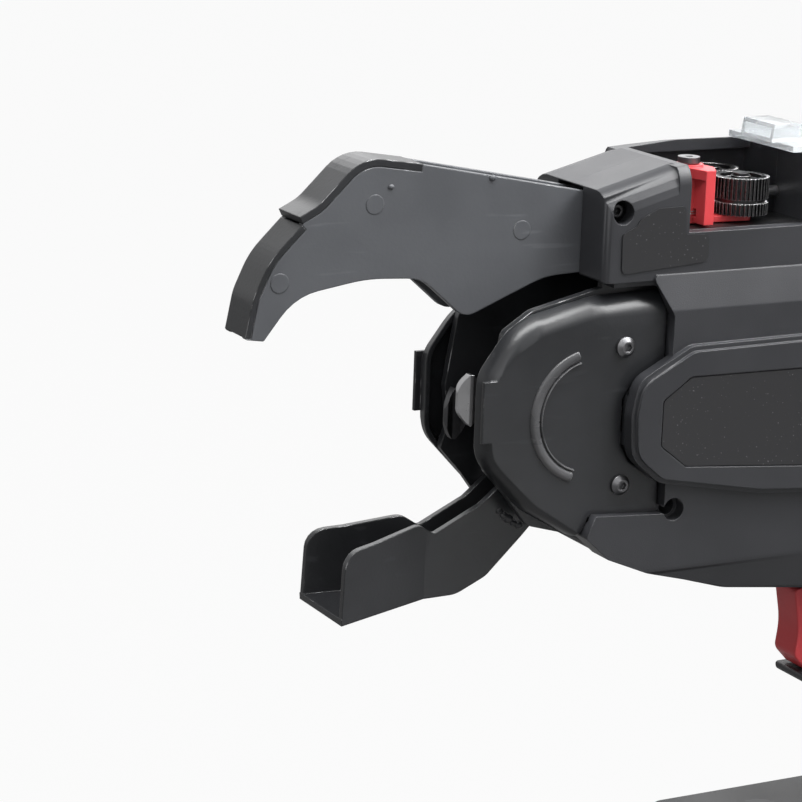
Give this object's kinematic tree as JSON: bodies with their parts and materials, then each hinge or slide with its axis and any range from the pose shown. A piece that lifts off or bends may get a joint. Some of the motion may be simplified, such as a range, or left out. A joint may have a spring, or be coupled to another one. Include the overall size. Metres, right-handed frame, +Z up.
{
  "type": "rebar tying tool",
  "caption": "Cordless rebar tying tool with curved upper jaw, hinged lower jaw, twisting hooks, wire spool, trigger handle and slide-on battery.",
  "frame": {"origin": "centre of the battery's bottom face, which the tool stands on", "axes": "+X towards the back of the tool (the jaws point along -X), +Z up, +Y towards the tool's right side"},
  "size_m": [0.3478, 0.074, 0.3454],
  "materials": {
    "black_plastic": "moulded, fine grain",
    "black_gloss": "smooth",
    "grey_paint": "satin",
    "black_paint": "satin black",
    "bright_steel": "zinc plated",
    "dark_steel": "blackened, oiled",
    "cast_alloy": "die cast",
    "red_plastic": "satin red",
    "pale_plastic": "moulded",
    "clear_plastic": "clear polycarbonate",
    "green_board": "lacquered",
    "grip_rubber": "soft touch",
    "cell_wrap": "shrink film",
    "label_film": "bare speckled film"
  },
  "bodies": {
    "housing": {"left_shell": "black_plastic", "right_shell": "black_plastic", "front_frame": "grey_paint", "left_side_plate": "black_paint", "right_side_plate": "black_paint", "side_plate_screws": "bright_steel", "upper_jaw_left_plate": "grey_paint", "upper_jaw_right_plate": "grey_paint", "curl_guide": "dark_steel", "jaw_rim_strip": "black_paint", "jaw_crown_plate": "black_paint", "jaw_pins": "grey_paint", "lower_jaw_pin": "dark_steel", "lower_jaw_bushes": "dark_steel", "lower_jaw_spring": "bright_steel", "shaft_bearing": "bright_steel", "gear_case": "cast_alloy", "gear_case_cover": "cast_alloy", "twist_motor": "bright_steel", "cutter_pin": "bright_steel", "wire_outlet_guide": "bright_steel", "wire_inlet_guide": "bright_steel", "feed_base_plate": "dark_steel", "feed_motor": "bright_steel", "release_lever_screw": "bright_steel", "release_lever_spring": "bright_steel", "spool_axle": "black_plastic", "cover_hinge_pin": "bright_steel", "trigger_switch": "black_plastic", "control_panel": "black_gloss", "control_board": "green_board", "housing_screws": "bright_steel", "nose_screw": "dark_steel", "rubber_grip": "grip_rubber", "terminal_block": "black_plastic", "nose_label": "label_film", "side_label": "label_film"},
    "lower_jaw": {"lower_jaw": "grey_paint"},
    "twister": {"twist_shaft": "dark_steel", "output_gear": "dark_steel", "hook_pin": "bright_steel"},
    "sleeve": {"twist_sleeve": "dark_steel"},
    "left_hook": {"left_hook": "bright_steel"},
    "right_hook": {"right_hook": "dark_steel"},
    "motor_pinion": {"motor_pinion": "dark_steel"},
    "cutter": {"cutter_lever": "dark_steel"},
    "release_lever": {"release_lever": "red_plastic", "idler_axle": "dark_steel"},
    "idler_gear": {"idler_feed_gear": "dark_steel"},
    "drive_gear": {"drive_feed_gear": "dark_steel"},
    "spool": {"wire_spool": "pale_plastic", "wire_winding": "dark_steel"},
    "cover": {"clear_cover": "clear_plastic"},
    "trigger": {"trigger": "red_plastic"},
    "power_button": {"power_button": "red_plastic"},
    "torque_dial": {"torque_dial": "black_plastic"},
    "battery": {"battery_case": "black_plastic", "battery_cells": "cell_wrap"},
    "battery_latch": {"battery_latch": "red_plastic"}
  },
  "joints": [
    {"name": "lower_jaw_hinge", "type": "hinge", "parent": "housing", "child": "lower_jaw", "pos_m": [-0.14, 0, 0.215], "axis": [0, -1, 0], "range_deg": [0, 25], "stiffness_Nm_per_rad": 0.6, "springref_deg": -17.19},
    {"name": "twist_spin", "type": "hinge", "parent": "housing", "child": "twister", "pos_m": [-0.1, 0, 0.248], "axis": [1, 0, 0], "continuous": true},
    {"name": "pinion_spin", "type": "hinge", "parent": "housing", "child": "motor_pinion", "pos_m": [-0.06, 0, 0.216], "axis": [1, 0, 0], "continuous": true},
    {"name": "sleeve_slide", "type": "slide", "parent": "twister", "child": "sleeve", "axis": [-1, 0, 0], "range_m": [0, 0.003]},
    {"name": "left_hook_close", "type": "hinge", "parent": "twister", "child": "left_hook", "pos_m": [-0.154, 0, 0.248], "axis": [0, 0, -1], "range_deg": [0, 12]},
    {"name": "right_hook_close", "type": "hinge", "parent": "twister", "child": "right_hook", "pos_m": [-0.154, 0, 0.248], "axis": [0, 0, 1], "range_deg": [0, 12]},
    {"name": "cutter_swing", "type": "hinge", "parent": "housing", "child": "cutter", "pos_m": [-0.0956, 0.011, 0.293], "axis": [1, 0, 0], "range_deg": [0, 10], "stiffness_Nm_per_rad": 0.02},
    {"name": "lever_swing", "type": "hinge", "parent": "housing", "child": "release_lever", "pos_m": [-0.082, -0.008, 0.318], "axis": [0, 0, -1], "range_deg": [0, 8], "stiffness_Nm_per_rad": 0.05},
    {"name": "idler_spin", "type": "hinge", "parent": "release_lever", "child": "idler_gear", "pos_m": [-0.0605, -0.01, 0.318], "axis": [0, 0, 1], "continuous": true},
    {"name": "drive_spin", "type": "hinge", "parent": "housing", "child": "drive_gear", "pos_m": [-0.0605, 0.01, 0.318], "axis": [0, 0, 1], "continuous": true},
    {"name": "spool_spin", "type": "hinge", "parent": "housing", "child": "spool", "pos_m": [0.034, 0, 0.281], "axis": [0, 1, 0], "continuous": true},
    {"name": "cover_hinge", "type": "hinge", "parent": "housing", "child": "cover", "pos_m": [0.088, 0, 0.292], "axis": [0, 1, 0], "range_deg": [0, 100]},
    {"name": "trigger_slide", "type": "slide", "parent": "housing", "child": "trigger", "axis": [1, 0, 0], "range_m": [0, 0.005], "stiffness_N_per_m": 600},
    {"name": "power_press", "type": "slide", "parent": "housing", "child": "power_button", "axis": [0, 0, -1], "range_m": [0, 0.0008], "stiffness_N_per_m": 800},
    {"name": "dial_turn", "type": "hinge", "parent": "housing", "child": "torque_dial", "pos_m": [-0.025, 0, 0.07], "axis": [0, 0, -1], "range_deg": [0, 270]},
    {"name": "battery_slide", "type": "slide", "parent": "housing", "child": "battery", "axis": [-1, 0, 0], "range_m": [0, 0.1]},
    {"name": "latch_press", "type": "slide", "parent": "battery", "child": "battery_latch", "axis": [0, 0, -1], "range_m": [0, 0.003], "stiffness_N_per_m": 500}
  ],
  "couplings": [
    {"joint": "pinion_spin", "follows": "twist_spin", "ratio": -1.2857},
    {"joint": "left_hook_close", "follows": "sleeve_slide", "rad_per_m": 50},
    {"joint": "right_hook_close", "follows": "sleeve_slide", "rad_per_m": 50},
    {"joint": "cutter_swing", "follows": "sleeve_slide", "rad_per_m": 50},
    {"joint": "idler_spin", "follows": "drive_spin", "ratio": -1}
  ]
}
